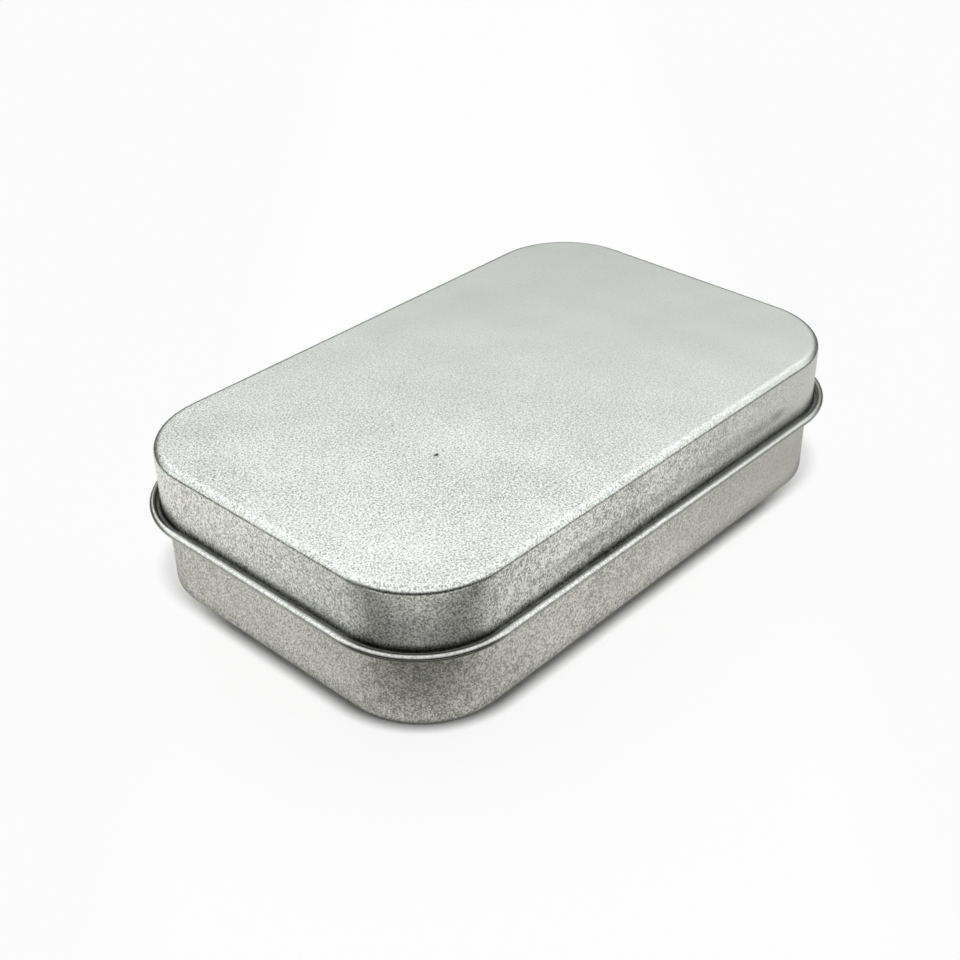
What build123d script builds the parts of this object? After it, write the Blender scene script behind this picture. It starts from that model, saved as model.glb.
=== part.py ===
import os
from math import asin, degrees, pi, radians, sqrt

from build123d import *

os.makedirs("parts", exist_ok=True)

# A pocket tin with a hinged lid, pressed from two pieces of tinplate. X runs along the
# tin, the front is at -Y and the hinge at +Y, and Z = 0 is the face that it stands on.

# Tinplate, the same sheet for both pieces
sheet = 0.25

# Lid: outside of its wall, and the height of the closed tin
lid_length = 95.0
lid_width = 60.0
lid_corner_radius = 13.5
lid_edge_radius = 1.1
tin_height = 22.35

# Lip of the lid: its skirt flares out, then rolls up and in again
lip_height = 12.65
lip_reach = 1.65
lip_radius = 0.525
lip_turn = 285.0
flare_radius = 0.6

# Base: it stands inside the skirt of the lid
skirt_gap = 0.5
base_edge_radius = 0.8

# Rim of the base: a hem rolled inwards
rim_height = 18.0
rim_radius = 0.6
rim_turn = 270.0

# Ridge pressed out round the base, which carries the flare of the closed lid
ridge_reach = 0.7
ridge_radius = 0.35
ridge_root_radius = 0.2
ridge_gap = 0.08

# Hinge: two tabs cut loose from the back wall of the base and rolled round the lip
hinge_spacing = 50.0
hinge_clearance = 0.05
tab_width = 7.0
tab_bend_radius = 0.45
tab_turn = 188.0
slit_width = 0.3

# Windows in the back of the lid, which let the tabs through
window_gap = 0.4
window_lip = 0.42

# Overrun of every cut past the metal that it goes through
overrun = 1.0

# Places that both pieces share, in the half section at the right end of the tin
lid_wall = lid_length / 2 - sheet / 2
lip_x = lid_length / 2 + lip_reach - lip_radius
flange_z = lip_height - lip_radius + sheet / 2
flare_x = lid_wall + flare_radius
flare_z = flange_z + flare_radius
base_inset = sheet + skirt_gap
base_length = lid_length - 2 * base_inset
base_width = lid_width - 2 * base_inset
base_corner_radius = lid_corner_radius - base_inset
base_wall = base_length / 2 - sheet / 2

# The ridge lies just under the flare: its middle follows from the two arcs that meet
ridge_x = base_wall + ridge_reach - ridge_radius
ridge_contact = flare_radius + ridge_radius + sheet + ridge_gap
ridge_z = flare_z - sqrt(ridge_contact**2 - (flare_x - ridge_x) ** 2)
ridge_root_x = base_wall + ridge_root_radius
ridge_arcs = ridge_radius + ridge_root_radius
ridge_half = sqrt(ridge_arcs**2 - (ridge_root_x - ridge_x) ** 2)
ridge_turn = 90 + degrees(asin((ridge_x - ridge_root_x) / ridge_arcs))

# The hinge axis is the middle of the lip along the back
hinge_y = lid_width / 2 + lip_reach - lip_radius
hook_radius = lip_radius + hinge_clearance + sheet / 2
tab_z = lip_height + hook_radius
tab_root_y = base_width / 2 - sheet / 2
tab_root_z = tab_z + tab_bend_radius
hinge_places = (-hinge_spacing / 2, hinge_spacing / 2)


def loop(length, width, corner):
    """Closed path round a rounded rectangle, from the middle of its right end."""
    x = length / 2
    y = width / 2
    with BuildLine() as path:
        FilletPolyline((x, 0), (x, y), (-x, y), (-x, 0), radius=corner)
        mirror(about=Plane.XZ)
    return path.wire()


# Lid: a drawn shell with a rounded top edge
with BuildPart() as lid:
    with BuildSketch(Plane.XY.offset(flare_z)):
        RectangleRounded(lid_length, lid_width, lid_corner_radius)
    extrude(amount=tin_height - flare_z)
    fillet(lid.faces().sort_by(Axis.Z)[-1].edges(), radius=lid_edge_radius)
    offset(amount=-sheet, openings=lid.faces().sort_by(Axis.Z)[0])

    # Flare, flange and roll of the lip, all one strip of sheet
    with BuildSketch(Plane.XZ):
        with BuildLine():
            CenterArc((flare_x, flare_z), flare_radius, 180, 90)
            Line((flare_x, flange_z), (lip_x, flange_z))
            CenterArc((lip_x, lip_height), lip_radius - sheet / 2, -90, lip_turn)
        trace(line_width=sheet)
    sweep(path=loop(lid_length, lid_width, lid_corner_radius))

    # Windows: they leave the roll whole and a short lip of flange below it
    window_low = flange_z - sheet / 2 - overrun
    window_step = flange_z + sheet / 2
    window_top = tab_z + sheet / 2 + window_gap
    window_in = lid_width / 2 - sheet - overrun
    window_out = hinge_y - lip_radius - hinge_clearance
    for x in hinge_places:
        with BuildSketch(Plane.YZ.offset(x)):
            with BuildLine():
                Polyline(
                    (window_in, window_low),
                    (hinge_y - window_lip, window_low),
                    (hinge_y - window_lip, window_step),
                    (window_out, window_step),
                    (window_out, window_top),
                    (window_in, window_top),
                    close=True,
                )
            make_face()
        extrude(amount=tab_width / 2 + window_gap, both=True, mode=Mode.SUBTRACT)

lid.part.label = "lid"

# Base: a drawn pan up to the ridge, then ridge, neck and rim as one strip of sheet
with BuildPart() as base:
    pan_height = ridge_z - ridge_half
    with BuildSketch():
        RectangleRounded(base_length, base_width, base_corner_radius)
    extrude(amount=pan_height)
    fillet(base.faces().sort_by(Axis.Z)[0].edges(), radius=base_edge_radius)
    offset(amount=-sheet, openings=base.faces().sort_by(Axis.Z)[-1])

    rim_x = base_wall + sheet / 2 - rim_radius
    rim_z = rim_height - rim_radius
    with BuildSketch(Plane.XZ):
        with BuildLine():
            CenterArc((ridge_root_x, ridge_z - ridge_half), ridge_root_radius, 180, -ridge_turn)
            CenterArc((ridge_x, ridge_z), ridge_radius, -ridge_turn, 2 * ridge_turn)
            CenterArc((ridge_root_x, ridge_z + ridge_half), ridge_root_radius, 180, ridge_turn)
            Line((base_wall, ridge_z + ridge_half), (base_wall, rim_z))
            CenterArc((rim_x, rim_z), rim_radius - sheet / 2, 0, rim_turn)
        trace(line_width=sheet)
    sweep(path=loop(base_length, base_width, base_corner_radius))

    # Each tab is bent out of a window as tall as the tab is long
    tab_reach = hinge_y - tab_root_y - tab_bend_radius
    tab_length = tab_bend_radius * pi / 2 + tab_reach + hook_radius * radians(tab_turn)
    for x in hinge_places:
        with BuildSketch(Plane.XZ.offset(-tab_root_y)):
            with Locations((x, tab_root_z)):
                Rectangle(tab_width + 2 * slit_width, tab_length, align=(Align.CENTER, Align.MAX))
        extrude(amount=overrun, both=True, mode=Mode.SUBTRACT)
        with BuildSketch(Plane.YZ.offset(x)):
            with BuildLine():
                CenterArc((tab_root_y + tab_bend_radius, tab_root_z), tab_bend_radius, 180, 90)
                Line((tab_root_y + tab_bend_radius, tab_z), (hinge_y, tab_z))
                CenterArc((hinge_y, lip_height), hook_radius, 90, -tab_turn)
            trace(line_width=sheet)
        extrude(amount=tab_width / 2, both=True)

base.part.label = "base"

for piece in (lid, base):
    export_step(piece.part, f"parts/{piece.part.label}.step")
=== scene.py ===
from math import atan2, cos, degrees, pi, radians, sin, sqrt

import bmesh
import bpy
from mathutils import Matrix, Vector


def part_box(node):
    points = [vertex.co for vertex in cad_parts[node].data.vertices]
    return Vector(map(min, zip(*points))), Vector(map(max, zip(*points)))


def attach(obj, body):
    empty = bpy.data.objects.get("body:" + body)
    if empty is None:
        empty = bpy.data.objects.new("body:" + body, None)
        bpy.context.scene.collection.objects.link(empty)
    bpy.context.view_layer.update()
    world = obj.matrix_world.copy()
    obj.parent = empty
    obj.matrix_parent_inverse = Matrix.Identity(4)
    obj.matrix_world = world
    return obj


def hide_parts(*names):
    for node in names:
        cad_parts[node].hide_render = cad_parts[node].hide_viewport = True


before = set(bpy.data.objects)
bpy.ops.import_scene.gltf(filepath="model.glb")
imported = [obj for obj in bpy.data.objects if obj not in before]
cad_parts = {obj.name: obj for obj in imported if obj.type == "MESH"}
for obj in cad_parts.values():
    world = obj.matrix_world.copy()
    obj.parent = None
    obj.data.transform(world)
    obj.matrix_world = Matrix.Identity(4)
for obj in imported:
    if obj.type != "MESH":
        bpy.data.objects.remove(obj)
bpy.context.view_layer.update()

# The tin is two pressings of tinplate in one frame: metres, X along the tin, the front at
# -Y, the hinge at +Y, and Z = 0 on the table. This is the solids' box.
mm = 0.001


# Tinplate: mild steel rolled 0.25 mm thick and coated with matt tin. The tin froze with a
# fine crinkled grain, so it shines softly, and each crinkle shows as a light or dark fleck.
sheet = 0.25 * mm
grain_width = 0.3 * mm
grain_depth = 0.035 * mm
fleck_width = 0.26 * mm
patch_width = 1.3 * mm
cloud_width = 9 * mm
wave_width = 14 * mm
wave_depth = 0.12 * mm

# How much clouds and patches count beside the flecks, the range of the flecks that goes
# from dark to light, and how light, how lively and how deep in relief each surface is.
cloud_share = 0.12
patch_share = 0.3
fleck_dark, fleck_light = 0.41, 0.71
top_tone, wall_tone = 0.66, 0.54
top_contrast, wall_contrast = 1.1, 1.6
top_relief, wall_relief, rubbed_relief = 0.5, 1.0, 0.2

# The grain is strong at the front left and fades along this line, towards the back right.
fade_line = (1.0, 0.6, 0.0)
grain_strong = -30 * mm
grain_weak = 23 * mm
grain_least = 0.1

# The crinkles scatter light, more where they stand high. A rubbed place is smoother and lighter,
# on the lid's top edge as a painted highlight. Painted shade and dark marks are darker, and a
# mark's rim is ragged by the crinkles.
crinkle_low, crinkle_high = 0.3, 0.7
least_rough, most_rough = 0.27, 0.37
rubbed_smoother = 0.14
wear_highlight_share = 0.55
wear_highlight_colour = "#dcdcd8"
shade_colour = "#3b3a35"
mark_colour = "#4a4945"
mark_full, mark_rim = 0.9, 1.5


def linear(hex_colour):
    """An sRGB hex colour as the linear colour that a shader takes."""
    channels = [int(hex_colour[i:i + 2], 16) / 255 for i in (1, 3, 5)]
    return [c / 12.92 if c <= 0.04045 else ((c + 0.055) / 1.055) ** 2.4 for c in channels] + [1]


def add(tree, kind, settings=None, **links):
    """A node of that kind with its settings, and its inputs set or linked.

    An input goes by its name, or by its number as i0, i1. The two colours of a Mix node are
    its i6 and i7 and its output 2, and its two numbers are its i2 and i3 and its output 0.
    """
    node = tree.nodes.new(kind)
    for name, value in (settings or {}).items():
        setattr(node, name, value)
    for name, value in links.items():
        key = int(name[1:]) if name[0] == "i" and name[1:].isdigit() else name.replace("_", " ")
        if isinstance(value, bpy.types.NodeSocket):
            tree.links.new(value, node.inputs[key])
        else:
            node.inputs[key].default_value = value
    return node


def new_material(name):
    """An empty node material and its tree."""
    material = bpy.data.materials.new(name)
    material.use_nodes = True
    material.node_tree.nodes.clear()
    return material, material.node_tree


def matt_tinplate(name, light, dark, dark_marks=()):
    """Frosted tinplate: two greys in clouds and flecks, crinkled and rubbed, with painted light and
    shade.
    """
    material, tree = new_material(name)
    place = add(tree, "ShaderNodeTexCoord").outputs["Object"]
    wear_and_highlight, drawn, painted_shade, grained = (
        add(tree, "ShaderNodeAttribute", {"attribute_name": mark}).outputs["Fac"]
        for mark in ("wear_and_highlight", "drawn", "painted_shade", "grained")
    )
    clouds = add(tree, "ShaderNodeTexNoise", Vector=place, Scale=1 / cloud_width, Detail=3.0)
    patches = add(tree, "ShaderNodeTexNoise", Vector=place, Scale=1 / patch_width, Detail=1.0)
    flecks = add(
        tree, "ShaderNodeTexNoise", Vector=place, Scale=1 / fleck_width, Detail=2.0, Distortion=0.6
    )
    crinkle = add(
        tree, "ShaderNodeTexNoise", Vector=place, Scale=1 / grain_width, Detail=2.5,
        Roughness=0.6, Distortion=1.4,
    )
    waves = add(tree, "ShaderNodeTexNoise", Vector=place, Scale=1 / wave_width, Detail=1.0)

    # Grain: how strong it is here. The walls marked as grained never lose it all.
    along = add(
        tree, "ShaderNodeVectorMath", {"operation": "DOT_PRODUCT"}, i0=place, i1=fade_line
    )
    fading = add(
        tree, "ShaderNodeMapRange", Value=along.outputs["Value"],
        From_Min=grain_strong, From_Max=grain_weak, To_Min=1.0, To_Max=grain_least,
    )
    grain = add(
        tree, "ShaderNodeMath", {"operation": "MAXIMUM"}, i0=fading.outputs[0], i1=grained
    )

    # Colour: flecks on faint clouds, and on the drawn walls patches too.
    cloudy = add(
        tree, "ShaderNodeMath", {"operation": "MULTIPLY_ADD"},
        i0=clouds.outputs["Fac"], i1=cloud_share, i2=flecks.outputs["Fac"],
    )
    patchy = add(tree, "ShaderNodeMapRange", Value=drawn, To_Min=0.0, To_Max=patch_share)
    patch = add(
        tree, "ShaderNodeMath", {"operation": "SUBTRACT"}, i0=patches.outputs["Fac"], i1=0.5
    )
    mottle = add(
        tree, "ShaderNodeMath", {"operation": "MULTIPLY_ADD"},
        i0=patch.outputs[0], i1=patchy.outputs[0], i2=cloudy.outputs[0],
    )
    spread = add(
        tree, "ShaderNodeMapRange", {"clamp": False}, Value=mottle.outputs[0],
        From_Min=fleck_dark, From_Max=fleck_light, To_Min=-0.5, To_Max=0.5,
    )
    lively = add(
        tree, "ShaderNodeMapRange", Value=drawn, To_Min=top_contrast, To_Max=wall_contrast
    )
    contrast = add(
        tree, "ShaderNodeMath", {"operation": "MULTIPLY"}, i0=lively.outputs[0], i1=grain.outputs[0]
    )
    tone = add(tree, "ShaderNodeMapRange", Value=drawn, To_Min=top_tone, To_Max=wall_tone)
    share = add(
        tree, "ShaderNodeMath", {"operation": "MULTIPLY_ADD", "use_clamp": True},
        i0=spread.outputs[0], i1=contrast.outputs[0], i2=tone.outputs[0],
    )
    plain = add(
        tree, "ShaderNodeMix", {"data_type": "RGBA"},
        i0=share.outputs[0], i6=linear(dark), i7=linear(light),
    )
    # A rubbed place is lighter: worn on the lip and the base, a painted highlight on the lid's top
    # edge.
    shine = add(tree, "ShaderNodeMath", {"operation": "MULTIPLY"}, i0=wear_and_highlight, i1=wear_highlight_share)
    bright = add(
        tree, "ShaderNodeMix", {"data_type": "RGBA"},
        i0=shine.outputs[0], i6=plain.outputs[2], i7=linear(wear_highlight_colour),
    )
    # Painted shade: darker in the lid's gutter, on the roll behind and below its crest, and at the
    # foot.
    shaded = add(
        tree, "ShaderNodeMix", {"data_type": "RGBA"},
        i0=painted_shade, i6=bright.outputs[2], i7=linear(shade_colour),
    )

    # Dark marks: small darker places, each with its middle, its reach and how dark it is.
    colour = shaded.outputs[2]
    for middle, span, strength in dark_marks:
        offset = add(
            tree, "ShaderNodeVectorMath", {"operation": "SUBTRACT"}, i0=place,
            i1=[m * mm for m in middle],
        )
        spans = add(
            tree, "ShaderNodeVectorMath", {"operation": "DIVIDE"}, i0=offset.outputs[0],
            i1=[s * mm for s in span],
        )
        far = add(tree, "ShaderNodeVectorMath", {"operation": "LENGTH"}, i0=spans.outputs[0])
        ragged = add(
            tree, "ShaderNodeMath", {"operation": "ADD"},
            i0=far.outputs["Value"], i1=crinkle.outputs["Fac"],
        )
        dull = add(
            tree, "ShaderNodeMapRange", Value=ragged.outputs[0],
            From_Min=mark_full, From_Max=mark_rim, To_Min=strength, To_Max=0.0,
        )
        marked = add(
            tree, "ShaderNodeMix", {"data_type": "RGBA"},
            i0=dull.outputs[0], i6=colour, i7=linear(mark_colour),
        )
        colour = marked.outputs[2]

    # Gloss and relief: both follow the crinkles. A rubbed place is smoother and flatter.
    frost = add(
        tree, "ShaderNodeMapRange", Value=crinkle.outputs["Fac"],
        From_Min=crinkle_low, From_Max=crinkle_high, To_Min=least_rough, To_Max=most_rough,
    )
    gloss = add(
        tree, "ShaderNodeMath", {"operation": "MULTIPLY_ADD"},
        i0=wear_and_highlight, i1=-rubbed_smoother, i2=frost.outputs[0],
    )
    crisp = add(tree, "ShaderNodeMapRange", Value=drawn, To_Min=top_relief, To_Max=wall_relief)
    worn = add(tree, "ShaderNodeMapRange", Value=wear_and_highlight, To_Min=1.0, To_Max=rubbed_relief)
    kept = add(
        tree, "ShaderNodeMath", {"operation": "MULTIPLY"}, i0=crisp.outputs[0], i1=worn.outputs[0]
    )
    relief = add(
        tree, "ShaderNodeMath", {"operation": "MULTIPLY"}, i0=kept.outputs[0], i1=grain.outputs[0]
    )
    wavy = add(
        tree, "ShaderNodeBump", Height=waves.outputs["Fac"], Strength=1.0, Distance=wave_depth
    )
    bump = add(
        tree, "ShaderNodeBump", Height=crinkle.outputs["Fac"], Strength=relief.outputs[0],
        Distance=grain_depth, Normal=wavy.outputs[0],
    )
    metal = add(
        tree, "ShaderNodeBsdfPrincipled", Base_Color=colour, Metallic=1.0,
        Roughness=gloss.outputs[0], Normal=bump.outputs[0],
    )
    add(tree, "ShaderNodeOutputMaterial", Surface=metal.outputs[0])
    return material


# Lid: one sheet drawn down over a die with round corners. The edge of its skirt flares out
# and rolls up and in, which stiffens it and leaves a smooth lip. It hangs on that lip.
lid_low, lid_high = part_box("lid")
lip_reach = 1.65 * mm
lip_radius = 0.525 * mm
lip_turn = 285
flare_radius = 0.6 * mm
lid_corner = 13.5 * mm
lid_edge = 1.1 * mm
lid_half_x = lid_high[0] - lip_reach
lid_half_y = lid_high[1] - lip_reach
lip_z = lid_low[2] + lip_radius
lip_x = lid_high[0] - lip_radius
hinge_y = lid_high[1] - lip_radius
panel_ring = 0.15 * mm
edge_break = 0.04 * mm
sharp_edge = radians(50)
weld = 0.002 * mm
axis_x, axis_y, axis_z = (1, 0, 0), (0, 1, 0), (0, 0, 1)

# Its greys, and its dark marks in mm: a dark speck on the top, and a darker patch and bands
# low down on the front wall.
lid_light, lid_dark = "#fffffd", "#9c9c99"
lid_dark_marks = (
    ((-20.8, -6.7, 22.35), (0.55, 0.42, 0.4), 1.0),
    ((27.8, -30, 16.0), (2.4, 1, 1.1), 0.33),
    ((23.5, -30, 15.6), (4, 1, 0.8), 0.2),
    ((14, -30, 16.1), (18, 1, 1.5), 0.27),
    ((-13, -30, 16.1), (20, 1, 1.5), 0.27),
)
lid_tinplate = matt_tinplate("lid_matt_tinplate", lid_light, lid_dark, lid_dark_marks)

# Into how many parts each bend and straight is divided, fine enough to look smooth.
corner_steps = 28
side_steps = 12
lip_steps = 26
bend_steps = 8
foot_steps = 4
skirt_steps = 8


def bend(bm, end, centre, axis, turn, steps):
    """Rolls the end of a sheet's section by turn degrees on centre, and gives the new end."""
    turned = bmesh.ops.spin(
        bm, geom=end, cent=centre, axis=axis, angle=radians(turn), steps=steps
    )
    return turned["geom_last"]


def run(bm, end, offset, steps):
    """Carries the end of a sheet's section straight on in even steps."""
    for _ in range(steps):
        edges = [part for part in end if isinstance(part, bmesh.types.BMEdge)]
        if edges:
            made = bmesh.ops.extrude_edge_only(bm, edges=edges)["geom"]
        else:
            made = bmesh.ops.extrude_vert_indiv(bm, verts=end)["verts"]
        points = [part for part in made if isinstance(part, bmesh.types.BMVert)]
        bmesh.ops.translate(bm, verts=points, vec=Vector(offset) / steps)
        end = points + [
            part for part in made
            if isinstance(part, bmesh.types.BMEdge) and all(v in points for v in part.verts)
        ]
    return end


def press(bm, half_x, half_y, corner):
    """Takes a section that stands at the right end all the way round the tin."""
    x, y = half_x - corner, half_y - corner
    end = bm.verts[:] + bm.edges[:]
    end = run(bm, end, (0, y, 0), side_steps // 2)
    end = bend(bm, end, (x, y, 0), axis_z, 90, corner_steps)
    end = run(bm, end, (-2 * x, 0, 0), 2 * side_steps)
    end = bend(bm, end, (-x, y, 0), axis_z, 90, corner_steps)
    end = run(bm, end, (0, -2 * y, 0), side_steps)
    end = bend(bm, end, (-x, -y, 0), axis_z, 90, corner_steps)
    end = run(bm, end, (2 * x, 0, 0), 2 * side_steps)
    end = bend(bm, end, (x, -y, 0), axis_z, 90, corner_steps)
    run(bm, end, (0, y, 0), side_steps // 2)
    bmesh.ops.remove_doubles(bm, verts=bm.verts, dist=weld)


def close_panel(bm, height):
    """Fills the flat of a pressing, with a narrow flat ring round it."""
    rim = [
        e for e in bm.edges
        if e.is_boundary and all(abs(v.co.z - height) < sheet / 4 for v in e.verts)
    ]
    panel = bmesh.ops.contextual_create(bm, geom=rim)["faces"]
    bmesh.ops.inset_region(bm, faces=panel, thickness=panel_ring, use_even_offset=True)


def cut(bm, point, normal, near):
    """Parts the sheet along a plane, only where near is true of a face's middle."""
    faces = [f for f in bm.faces if near(f.calc_center_median())]
    around = {v for f in faces for v in f.verts} | {e for f in faces for e in f.edges}
    bmesh.ops.bisect_plane(
        bm, geom=faces + list(around), dist=weld / 2, plane_co=point, plane_no=normal
    )


def punch(bm, inside):
    """Takes out the faces whose middle lies inside."""
    gone = [f for f in bm.faces if inside(f.calc_center_median())]
    bmesh.ops.delete(bm, geom=gone, context="FACES")


def finish_sheet(bm, name, material, body, node, marks):
    """Gives a pressing its marks of use and of painted light and shade, its thickness and softly
    broken cut edges.
    """
    bmesh.ops.recalc_face_normals(bm, faces=bm.faces)
    for face in bm.faces:
        face.smooth = True
    mesh = bpy.data.meshes.new(name)
    bm.to_mesh(mesh)
    bm.free()
    for mark, strength in marks.items():
        layer = mesh.attributes.new(mark, "FLOAT", "POINT")
        for vertex, value in zip(mesh.vertices, layer.data):
            value.value = strength(vertex.co)
    piece = bpy.data.objects.new(name, mesh)
    bpy.context.scene.collection.objects.link(piece)
    mesh.materials.append(material)
    wall = piece.modifiers.new("sheet", "SOLIDIFY")
    wall.thickness = sheet
    wall.offset = 0
    wall.use_even_offset = True
    edge = piece.modifiers.new("cut_edge", "BEVEL")
    edge.width = edge_break
    edge.segments = 2
    edge.limit_method = "ANGLE"
    edge.angle_limit = sharp_edge
    piece.modifiers.new("even_shading", "WEIGHTED_NORMAL")
    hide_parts(node)
    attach(piece, body)
    return piece


# The section starts under the roll: the roll itself, then back along flange and skirt. It
# lies in the middle of the sheet, which gets its thickness to both sides at the end.
roll_middle = lip_radius - sheet / 2
flange_z = lip_z - roll_middle
flare_z = flange_z + flare_radius
wall_x = lid_half_x - sheet / 2
skirt_top = lid_high[2] - lid_edge
skirt_foot = 1 * mm
edge_middle = lid_edge - sheet / 2
lid_sheet = bmesh.new()
start = bmesh.ops.create_vert(lid_sheet, co=(lip_x, 0, flange_z))["vert"]
bend(lid_sheet, start, (lip_x, 0, lip_z), axis_y, -lip_turn, lip_steps)
end = run(lid_sheet, start, (wall_x + flare_radius - lip_x, 0, 0), 1)
end = bend(lid_sheet, end, (wall_x + flare_radius, 0, flare_z), axis_y, 90, bend_steps)
end = run(lid_sheet, end, (0, 0, skirt_foot), foot_steps)
end = run(lid_sheet, end, (0, 0, skirt_top - flare_z - skirt_foot), skirt_steps)
bend(lid_sheet, end, (wall_x - edge_middle, 0, skirt_top), axis_y, -90, bend_steps)
press(lid_sheet, lid_half_x, lid_half_y, lid_corner)
close_panel(lid_sheet, lid_high[2] - sheet / 2)

# Two windows in the back of the skirt, down to a short lip of flange under the roll.
hinge_places = (-25 * mm, 25 * mm)
tab_half = 3.5 * mm
window_gap = 0.4 * mm
window_lip = 0.42 * mm
window_room = 2 * mm
hook_clearance = 0.05 * mm
hook_middle = lip_radius + hook_clearance + sheet / 2
window_half = tab_half + window_gap
window_top = lip_z + hook_middle + sheet / 2 + window_gap
lip_back = hinge_y - window_lip
flange_top = flange_z + 0.01 * mm


def back_of_lid(c):
    """True on the lower back of the skirt and the lip, where the windows go."""
    return c.y > lid_half_y - lid_edge and c.z < window_top + window_room


for x in hinge_places:
    for side in (-window_half, window_half):
        cut(lid_sheet, (x + side, 0, 0), axis_x, back_of_lid)
    cut(lid_sheet, (0, 0, window_top), axis_z, back_of_lid)
    cut(lid_sheet, (0, lip_back, 0), axis_y, lambda c: back_of_lid(c) and c.z < flange_top)
    punch(
        lid_sheet,
        lambda c: abs(c.x - x) < window_half
        and lid_half_y - sheet < c.y < lip_back
        and c.z < window_top,
    )


# Marks of making, use and painted light and shade, from 0 to 1 at each point of the sheet.
corner_blend = 3 * mm
rough_x, gentle_x = -15 * mm, 30 * mm
gentler_right = 0.6


def ramp(value, start, end):
    """0 at start, 1 at end, straight between, level outside."""
    return min(max((value - start) / (end - start), 0), 1)


def beyond(point, half_x, half_y, corner):
    """How far a point lies outside a rounded rectangle round the tin."""
    x = abs(point.x) - half_x + corner
    y = abs(point.y) - half_y + corner
    return sqrt(max(x, 0) ** 2 + max(y, 0) ** 2) + min(max(x, y), 0) - corner


def in_corner(c, half_x, half_y, corner):
    """0 on the straight sides, rising to 1 over the first few mm of a round corner."""
    inside = min(abs(c.x) - half_x + corner, abs(c.y) - half_y + corner)
    return ramp(inside, 0, corner_blend)


def along_tin(c):
    """1 on the left, less to the right, where the walls were drawn more gently."""
    return 1 - gentler_right * ramp(c.x, rough_x, gentle_x)


def back_and_right(c, half_x, half_y, corner):
    """1 on the back wall and the right wall, 0 elsewhere."""
    back = ramp(c.y, half_y - corner / 2, half_y - corner / 8)
    right = ramp(c.x, half_x - corner / 4, half_x - corner / 16)
    return max(back, right)


# Rubbed: the crest of the lip, worn smooth and light, and less so the top edge, whose
# lighter colour is a painted highlight that fades towards the right.
flange_clean = 0.5 * mm
edge_highlight = 0.5
edge_dull_x, edge_bright_x = 40 * mm, -20 * mm


def lid_wear_and_highlight(c):
    out = beyond(c, lid_half_x, lid_half_y, lid_corner)
    lip = ramp(out, flange_clean, lip_reach - lip_radius)
    over_skirt = ramp(c.z, skirt_top, skirt_top + lid_edge / 6)
    top_edge = over_skirt * ramp(out, -lid_edge / 2, -lid_edge / 5)
    return max(lip, edge_highlight * top_edge * ramp(c.x, edge_dull_x, edge_bright_x))


# Drawn: the skirt, roughest on the front's left half, and gentler on the left short side.
# Grained: the back and right walls of the skirt, where the grain does not fade away.
skirt_drawn = 0.8
gentler_short_side = 0.45
short_side_from, short_side_to = -34 * mm, -44 * mm
wall_grain = 0.6


def lid_drawn(c):
    short_side = 1 - gentler_short_side * ramp(c.x, short_side_from, short_side_to)
    on_skirt = ramp(c.z, skirt_top + lid_edge / 2, skirt_top)
    return skirt_drawn * along_tin(c) * short_side * on_skirt


def lid_grained(c):
    walls = back_and_right(c, lid_half_x, lid_half_y, lid_corner)
    return wall_grain * walls * ramp(c.z, skirt_top + lid_edge / 2, skirt_top)


# Painted shade darkens the gutter between skirt and lip, the roll behind its crest, and
# below it. Heights are mm over the flare's middle, turns are degrees outwards from the top
# of the roll. Each is for a straight side, with what a left corner and the front's right add.
gutter_top = (-0.15, 0.95, 0)
gutter_full = (-0.35, 0.35, 0)
gutter_shade = 0.88
behind_start = (0, 10, 45)
behind_full = (-20, 15, 20)
behind_shade = (0.2, 0.72, 0.45)
behind_fade = (-75, -45)
below_start = (42, -15, 0)
below_full = (75, -20, 0)
below_shade = (0.45, 0.3, 0)
below_fade = (150, 110)
left_from = 20 * mm
right_from, right_to = -25 * mm, 20 * mm
front_y = -20 * mm


def lid_painted_shade(c):
    out = beyond(c, lid_half_x, lid_half_y, lid_corner)
    corner = in_corner(c, lid_half_x, lid_half_y, lid_corner) * ramp(c.x, left_from, 0)
    right = ramp(c.x, right_from, right_to) * ramp(c.y, 0, front_y) * (1 - corner)

    def here(values):
        """A value for this place, from its three parts."""
        side, more_corner, more_right = values
        return side + more_corner * corner + more_right * right

    if out < lip_reach - 2 * lip_radius:
        top, full = flare_z + here(gutter_top) * mm, flare_z + here(gutter_full) * mm
        return gutter_shade * ramp(c.z, top, full)
    turn = degrees(atan2(out - lip_reach + lip_radius, c.z - lip_z))
    behind = ramp(turn, here(behind_start), here(behind_full)) * ramp(turn, *behind_fade)
    below = ramp(turn, here(below_start), here(below_full)) * ramp(turn, *below_fade)
    return max(here(behind_shade) * behind, here(below_shade) * below)


lid = finish_sheet(
    lid_sheet, "lid_shell", lid_tinplate, "lid", "lid",
    {"wear_and_highlight": lid_wear_and_highlight, "drawn": lid_drawn, "grained": lid_grained, "painted_shade": lid_painted_shade},
)


# Base: one sheet drawn into a tray, with a ridge pressed out under the lid's lip and the
# rim rolled in as a hem. Two tabs cut from its back wall are rolled round the lid's lip.
# Its greys are the lid's a shade darker, as painted shade for the base standing low by the table.
base_shaded_light, base_shaded_dark = "#efeee9", "#9c9b96"
base_tinplate = matt_tinplate("base_matt_tinplate", base_shaded_light, base_shaded_dark)
base_low, base_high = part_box("base")
skirt_gap = 0.5 * mm
base_edge = 0.8 * mm
rim_radius = 0.6 * mm
rim_turn = 270
ridge_reach = 0.7 * mm
ridge_radius = 0.35 * mm
ridge_root = 0.2 * mm
ridge_gap = 0.08 * mm
tab_bend = 0.45 * mm
tab_turn = 188
slit_width = 0.3 * mm
inset = sheet + skirt_gap
base_half_x = lid_half_x - inset
base_half_y = lid_half_y - inset
base_corner = lid_corner - inset
foot_z = base_low[2] + sheet / 2
tray_x = base_half_x - sheet / 2
tray_edge = base_edge - sheet / 2
rim_z = base_high[2] - rim_radius
rim_middle = rim_radius - sheet / 2

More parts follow.
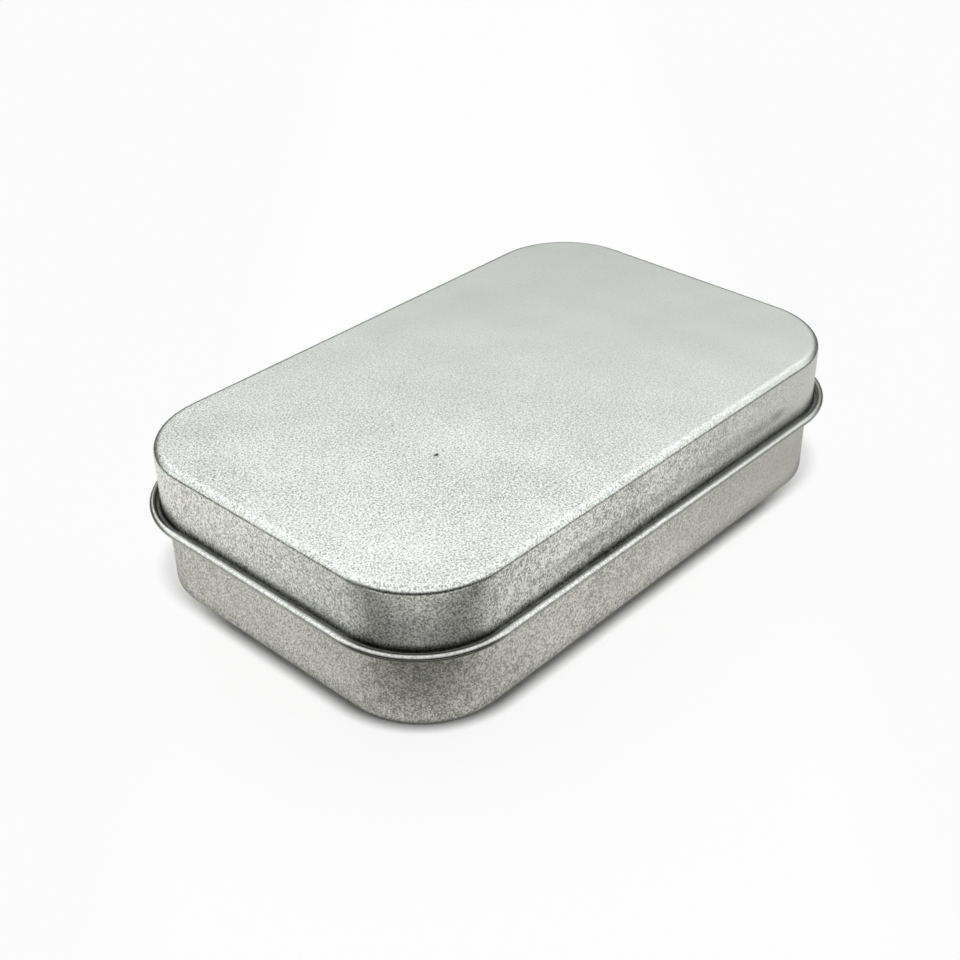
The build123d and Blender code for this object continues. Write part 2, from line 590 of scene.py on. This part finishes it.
# The ridge is as high as the lid's flare lets it be, with the gap between the two sheets.
ridge_x = tray_x + ridge_reach - ridge_radius
ridge_rise = flare_radius + ridge_radius + sheet + ridge_gap
ridge_z = flare_z - sqrt(ridge_rise**2 - (wall_x + flare_radius - ridge_x) ** 2)
root_x = tray_x + ridge_root
ridge_half = sqrt((ridge_radius + ridge_root) ** 2 - (root_x - ridge_x) ** 2)
ridge_turn = 90 + degrees(atan2(ridge_x - root_x, ridge_half))

edge_steps = 10
wall_steps = 8
root_steps = 6
ridge_steps = 14
neck_steps = 5
rim_steps = 20
tab_run_steps = 2
tab_steps = 18

# From the standing face: up the wall, over the ridge, up the neck and into the hem.
base_sheet = bmesh.new()
start = bmesh.ops.create_vert(base_sheet, co=(tray_x - tray_edge, 0, foot_z))["vert"]
end = bend(base_sheet, start, (tray_x - tray_edge, 0, base_edge), axis_y, -90, edge_steps)
end = run(base_sheet, end, (0, 0, ridge_z - ridge_half - base_edge), wall_steps)
end = bend(base_sheet, end, (root_x, 0, ridge_z - ridge_half), axis_y, ridge_turn, root_steps)
end = bend(base_sheet, end, (ridge_x, 0, ridge_z), axis_y, -2 * ridge_turn, ridge_steps)
end = bend(base_sheet, end, (root_x, 0, ridge_z + ridge_half), axis_y, ridge_turn, root_steps)
end = run(base_sheet, end, (0, 0, rim_z - ridge_z - ridge_half), neck_steps)
bend(base_sheet, end, (tray_x - rim_middle, 0, rim_z), axis_y, -rim_turn, rim_steps)
press(base_sheet, base_half_x, base_half_y, base_corner)
close_panel(base_sheet, foot_z)

# The tabs: a window as tall as the tab is long, and the tab bent out from its top.
tab_y = base_half_y - sheet / 2
tab_z = lip_z + hook_middle
tab_root = tab_z + tab_bend
tab_reach = hinge_y - tab_y - tab_bend
tab_length = tab_bend * pi / 2 + tab_reach + hook_middle * radians(tab_turn)
back_wall = tab_y - 0.3 * mm


def back_of_base(c):
    """True on the flat of the back wall, between the foot's edge and the hem."""
    return c.y > back_wall and base_edge < c.z < rim_z


for x in hinge_places:
    for side in (-tab_half - slit_width, -tab_half, tab_half, tab_half + slit_width):
        cut(base_sheet, (x + side, 0, 0), axis_x, back_of_base)
    for z in (tab_root, tab_root - tab_length):
        cut(base_sheet, (0, 0, z), axis_z, back_of_base)
    punch(
        base_sheet,
        lambda c: abs(c.x - x) < tab_half + slit_width
        and c.y > back_wall
        and tab_root - tab_length < c.z < tab_root,
    )
    root = [
        e for e in base_sheet.edges
        if e.is_boundary and all(
            abs(v.co.z - tab_root) < weld and abs(v.co.x - x) < tab_half + weld and v.co.y > 0
            for v in e.verts
        )
    ]
    end = root + list({v for e in root for v in e.verts})
    end = bend(base_sheet, end, (0, tab_y + tab_bend, tab_root), axis_x, 90, root_steps)
    end = run(base_sheet, end, (0, tab_reach, 0), tab_run_steps)
    bend(base_sheet, end, (0, hinge_y, lip_z), axis_x, -tab_turn, tab_steps)

# Marks: ridge and hem are rubbed bright, and the foot half as much. The walls are drawn
# roughest at the corners and on the left, and painted shade darkens the very foot a little.
foot_shine = 0.5
wall_drawn = 0.5
foot_shade = 0.12


def base_rubbed(c):
    out = beyond(c, base_half_x, base_half_y, base_corner)
    hem = ramp(c.z, rim_z - rim_radius, rim_z)
    return max(hem, ramp(out, 0, ridge_reach / 2), foot_shine * ramp(c.z, base_edge, 0))


def base_drawn(c):
    corner = in_corner(c, base_half_x, base_half_y, base_corner)
    rough = wall_drawn + (1 - wall_drawn) * corner
    return rough * along_tin(c) * ramp(c.z, 0, base_edge)


def base_grained(c):
    return wall_grain * back_and_right(c, base_half_x, base_half_y, base_corner)


# Painted shade at the foot, where the tin's contact shadow lies.
def base_painted_shade(c):
    return foot_shade * ramp(c.z, base_edge, base_edge / 3)


base = finish_sheet(
    base_sheet, "base_tray", base_tinplate, "base", "base",
    {"wear_and_highlight": base_rubbed, "drawn": base_drawn, "grained": base_grained, "painted_shade": base_painted_shade},
)


# Table: one white sheet of card, bright all over to the camera, with the tin's own shadow.
# In the tin's walls its greys are a painted reflection, darker away from the tin, towards the
# room's dim side and to the right. Painted light makes it glow far out on both sides, lifting
# the tin's shadow there, and faintly under the tin's foot in the walls.
card_reach = 1.5
card_colour = "#fbfbfb"
dim_azimuth = radians(-46.6)
dim_side = Vector((sin(dim_azimuth), -cos(dim_azimuth), 0))
cross_side = Vector((-dim_side.y, dim_side.x, 0))

# The greys that the metal mirrors, a painted reflection: by mm from the foot, and by mm towards the
# dim side.
near_tones = {
    1: "#ffffff", 5: "#dcdcd8", 10: "#e6e6e2", 18: "#fffffb", 58: "#fffffb", 74: "#a4a4a0",
    94: "#30302f",
}
side_tones = {
    36: "#f4f4f2", 44: "#e8e8e6", 51: "#d4d4d2", 57: "#a4a4a2", 62: "#585856", 67: "#20201f",
    71: "#484846", 76: "#f0f0ee", 80: "#ffffff", 90: "#ffffff", 104: "#b0b0ae", 124: "#343433",
}
tones_reach = 150 * mm
right_start = -5 * mm
right_end = 50 * mm
right_share = 0.76
glow_start = 37 * mm
glow_end = 50 * mm
glow_share = 0.74
glow_mirrored = 0.4
foot_start = 0.5 * mm
foot_end = 2.4 * mm
foot_share = 0.3


def tone_steps(tree, distance, tones):
    """A grey that follows a distance, from tones named at places in mm."""
    place = add(tree, "ShaderNodeMapRange", Value=distance, From_Max=tones_reach)
    steps = add(tree, "ShaderNodeValToRGB", Fac=place.outputs[0])
    stops = steps.color_ramp.elements
    stops.remove(stops[1])
    stops[0].color = linear(tones[min(tones)])
    for far, tone in tones.items():
        stops.new(far * mm / tones_reach).color = linear(tone)
    return steps.outputs["Color"]


card, tree = new_material("white_card")
place = add(tree, "ShaderNodeTexCoord").outputs["Object"]
mirrored = add(tree, "ShaderNodeLightPath").outputs["Is Glossy Ray"]
seen = add(tree, "ShaderNodeLightPath").outputs["Is Camera Ray"]

# How far a place on the card lies outside the tin's foot, which is a rounded rectangle.
corner_middle = (base_half_x - base_corner, base_half_y - base_corner, 0)
folded = add(tree, "ShaderNodeVectorMath", {"operation": "ABSOLUTE"}, i0=place)
past = add(
    tree, "ShaderNodeVectorMath", {"operation": "SUBTRACT"}, i0=folded.outputs[0], i1=corner_middle
)
outside = add(
    tree, "ShaderNodeVectorMath", {"operation": "MAXIMUM"}, i0=past.outputs[0], i1=(0, 0, 0)
)
reach = add(tree, "ShaderNodeVectorMath", {"operation": "LENGTH"}, i0=outside.outputs[0])
away = add(
    tree, "ShaderNodeMath", {"operation": "SUBTRACT"}, i0=reach.outputs["Value"], i1=base_corner
)

# Its tone: white, or in a mirrored ray both greys together as painted reflection, and darker to the
# right.
towards = add(tree, "ShaderNodeVectorMath", {"operation": "DOT_PRODUCT"}, i0=place, i1=dim_side)
side_tone = tone_steps(tree, towards.outputs["Value"], side_tones)
near_tone = tone_steps(tree, away.outputs[0], near_tones)
both_tones = add(
    tree, "ShaderNodeMix", {"data_type": "RGBA", "blend_type": "MULTIPLY"},
    i0=1.0, i6=side_tone, i7=near_tone,
)
across = add(tree, "ShaderNodeSeparateXYZ", Vector=place).outputs["X"]
right_part = add(
    tree, "ShaderNodeMapRange", Value=across,
    From_Min=right_start, From_Max=right_end, To_Min=1.0, To_Max=right_share,
)
dimmed = add(
    tree, "ShaderNodeVectorMath", {"operation": "SCALE"},
    i0=both_tones.outputs[2], Scale=right_part.outputs[0],
)
tone = add(
    tree, "ShaderNodeMix", {"data_type": "RGBA"},
    i0=mirrored, i6=linear(card_colour), i7=dimmed.outputs[0],
)

# Its glow, painted light: far out on both sides to the camera, which lifts the tin's shadow
# there, and less in a mirrored ray, and right under the foot in a mirrored ray only.
sideways = add(
    tree, "ShaderNodeVectorMath", {"operation": "DOT_PRODUCT"}, i0=place, i1=cross_side
)
aside = add(tree, "ShaderNodeMath", {"operation": "ABSOLUTE"}, i0=sideways.outputs["Value"])
side_glow = add(
    tree, "ShaderNodeMapRange", {"interpolation_type": "SMOOTHSTEP"}, Value=aside.outputs[0],
    From_Min=glow_start, From_Max=glow_end, To_Min=0.0, To_Max=glow_share,
)
rays = add(
    tree, "ShaderNodeMath", {"operation": "MULTIPLY_ADD"}, i0=mirrored, i1=glow_mirrored, i2=seen
)
side_glow = add(
    tree, "ShaderNodeMath", {"operation": "MULTIPLY"}, i0=side_glow.outputs[0], i1=rays.outputs[0]
)
foot_glow = add(
    tree, "ShaderNodeMapRange", Value=away.outputs[0],
    From_Min=foot_start, From_Max=foot_end, To_Min=foot_share, To_Max=0.0,
)
foot_glow = add(
    tree, "ShaderNodeMath", {"operation": "MULTIPLY"}, i0=foot_glow.outputs[0], i1=mirrored
)
glow = add(
    tree, "ShaderNodeMath", {"operation": "MAXIMUM"},
    i0=side_glow.outputs[0], i1=foot_glow.outputs[0],
)
paper = add(tree, "ShaderNodeBsdfDiffuse", Color=tone.outputs[2], Roughness=0.0)
painted_glow = add(tree, "ShaderNodeEmission", Color=tone.outputs[2], Strength=1.0)
surface = add(
    tree, "ShaderNodeMixShader", i0=glow.outputs[0], i1=paper.outputs[0], i2=painted_glow.outputs[0]
)
add(tree, "ShaderNodeOutputMaterial", Surface=surface.outputs[0])
floor_sheet = bmesh.new()
bmesh.ops.create_grid(floor_sheet, x_segments=2, y_segments=2, size=card_reach)
floor_mesh = bpy.data.meshes.new("table")
floor_sheet.to_mesh(floor_mesh)
floor_sheet.free()
floor = bpy.data.objects.new("table", floor_mesh)
bpy.context.scene.collection.objects.link(floor)
floor_mesh.materials.append(card)


# Light: a pale room, brightest high up on the far side and dim low down on the near side,
# and a round soft box almost straight above, which the metal does not mirror. Matt surfaces
# take little of the room's light, so that the box draws the tin's shadow.
world = bpy.data.worlds.new("pale_room")
bpy.context.scene.world = world
world.use_nodes = True
tree = world.node_tree
tree.nodes.clear()

# A height is the Z of a direction, and a side is how far it points towards the dim side.
far_heights, far_levels = (0.28, 0.65), (0.13, 1.4)
near_sides, near_level = (-0.6, -0.1), 1.14
dim_sides, dim_heights, dim_level = (0.0, 0.65), (0.23, 0.58), 0.05
matt_sides, matt_shares = (-0.6, 0.2), (0.25, 0.03)
overhead_heights, overhead_share = (0.78, 0.95), 0.86
tint_heights, low_tint, high_tint = (0.4, 0.64), (0.945, 1, 0.945, 1), (0.98, 1, 0.99, 1)
seen_level, seen_tint = 0.97, (1, 1, 1, 1)
way = add(tree, "ShaderNodeTexCoord").outputs["Generated"]
height = add(tree, "ShaderNodeSeparateXYZ", Vector=way).outputs["Z"]
towards = add(tree, "ShaderNodeVectorMath", {"operation": "DOT_PRODUCT"}, i0=way, i1=dim_side)
facing = towards.outputs["Value"]

# Its level: the far side brightens with height, the near side is even and dim low down.
far_side = add(
    tree, "ShaderNodeMapRange", Value=height, From_Min=far_heights[0], From_Max=far_heights[1],
    To_Min=far_levels[0], To_Max=far_levels[1],
)
near_side = add(
    tree, "ShaderNodeMapRange", {"interpolation_type": "SMOOTHSTEP"}, Value=facing,
    From_Min=near_sides[0], From_Max=near_sides[1],
)
upper = add(
    tree, "ShaderNodeMix", {"data_type": "FLOAT"},
    i0=near_side.outputs[0], i2=far_side.outputs[0], i3=near_level,
)
side = add(
    tree, "ShaderNodeMapRange", {"interpolation_type": "SMOOTHSTEP"}, Value=facing,
    From_Min=dim_sides[0], From_Max=dim_sides[1],
)
low = add(
    tree, "ShaderNodeMapRange", {"interpolation_type": "SMOOTHSTEP"}, Value=height,
    From_Min=dim_heights[0], From_Max=dim_heights[1], To_Min=1.0, To_Max=0.0,
)
dim = add(tree, "ShaderNodeMath", {"operation": "MULTIPLY"}, i0=side.outputs[0], i1=low.outputs[0])
strength = add(
    tree, "ShaderNodeMix", {"data_type": "FLOAT"},
    i0=dim.outputs[0], i2=upper.outputs[0], i3=dim_level,
)

# A matt surface gets a small share of it, and it is a little lower straight overhead.
matt = add(tree, "ShaderNodeLightPath").outputs["Diffuse Depth"]
matt_share = add(
    tree, "ShaderNodeMapRange", Value=facing, From_Min=matt_sides[0], From_Max=matt_sides[1],
    To_Min=matt_shares[0], To_Max=matt_shares[1],
)
shared = add(tree, "ShaderNodeMapRange", Value=matt, To_Min=1.0, To_Max=matt_share.outputs[0])
level = add(
    tree, "ShaderNodeMath", {"operation": "MULTIPLY"}, i0=strength.outputs[0], i1=shared.outputs[0]
)
overhead = add(
    tree, "ShaderNodeMapRange", Value=height,
    From_Min=overhead_heights[0], From_Max=overhead_heights[1], To_Min=1.0, To_Max=overhead_share,
)
level = add(
    tree, "ShaderNodeMath", {"operation": "MULTIPLY"}, i0=level.outputs[0], i1=overhead.outputs[0]
)

# It is faintly green low down, and to the camera it is plain white.
high = add(
    tree, "ShaderNodeMapRange", Value=height, From_Min=tint_heights[0], From_Max=tint_heights[1]
)
tint = add(
    tree, "ShaderNodeMix", {"data_type": "RGBA"}, i0=high.outputs[0], i6=low_tint, i7=high_tint
)
to_camera = add(tree, "ShaderNodeLightPath").outputs["Is Camera Ray"]
level = add(
    tree, "ShaderNodeMix", {"data_type": "FLOAT"}, i0=to_camera, i2=level.outputs[0], i3=seen_level
)
tint = add(
    tree, "ShaderNodeMix", {"data_type": "RGBA"}, i0=to_camera, i6=tint.outputs[2], i7=seen_tint
)
room = add(tree, "ShaderNodeBackground", Color=tint.outputs[2], Strength=level.outputs[0])
add(tree, "ShaderNodeOutputWorld", Surface=room.outputs[0])

box_lean = 0.14
box_angle = radians(11.5)
box_energy = 2.83
soft_box = bpy.data.lights.new("soft_box", "SUN")
soft_box.angle = box_angle
soft_box.energy = box_energy
lamp = bpy.data.objects.new("soft_box", soft_box)
bpy.context.scene.collection.objects.link(lamp)
lamp.location = dim_side * box_lean + Vector((0, 0, 1))
lamp.rotation_euler = lamp.location.to_track_quat("Z", "Y").to_euler()
lamp.visible_glossy = False


# Camera: solved from the edges of the tin in the photograph.
camera_azimuth = radians(-46.628)
camera_elevation = radians(33.366)
camera_roll = radians(-0.997)
camera_distance = 218.352 * mm
camera_target = Vector((-8.302, -2.972, 10.5)) * mm
focal_pixels = 1491.57
image_pixels = 960
back = Vector((
    sin(camera_azimuth) * cos(camera_elevation),
    -cos(camera_azimuth) * cos(camera_elevation),
    sin(camera_elevation),
))
lens = bpy.data.cameras.new("camera")
lens.sensor_width = 36
lens.lens = lens.sensor_width * focal_pixels / image_pixels
lens.clip_start = 0.01
camera = bpy.data.objects.new("camera", lens)
bpy.context.scene.collection.objects.link(camera)
turn = back.to_track_quat("Z", "Y").to_matrix() @ Matrix.Rotation(camera_roll, 3, "Z")
camera.matrix_world = Matrix.Translation(camera_target + back * camera_distance) @ turn.to_4x4()
bpy.context.scene.camera = camera
bpy.context.scene.view_settings.view_transform = "Standard"
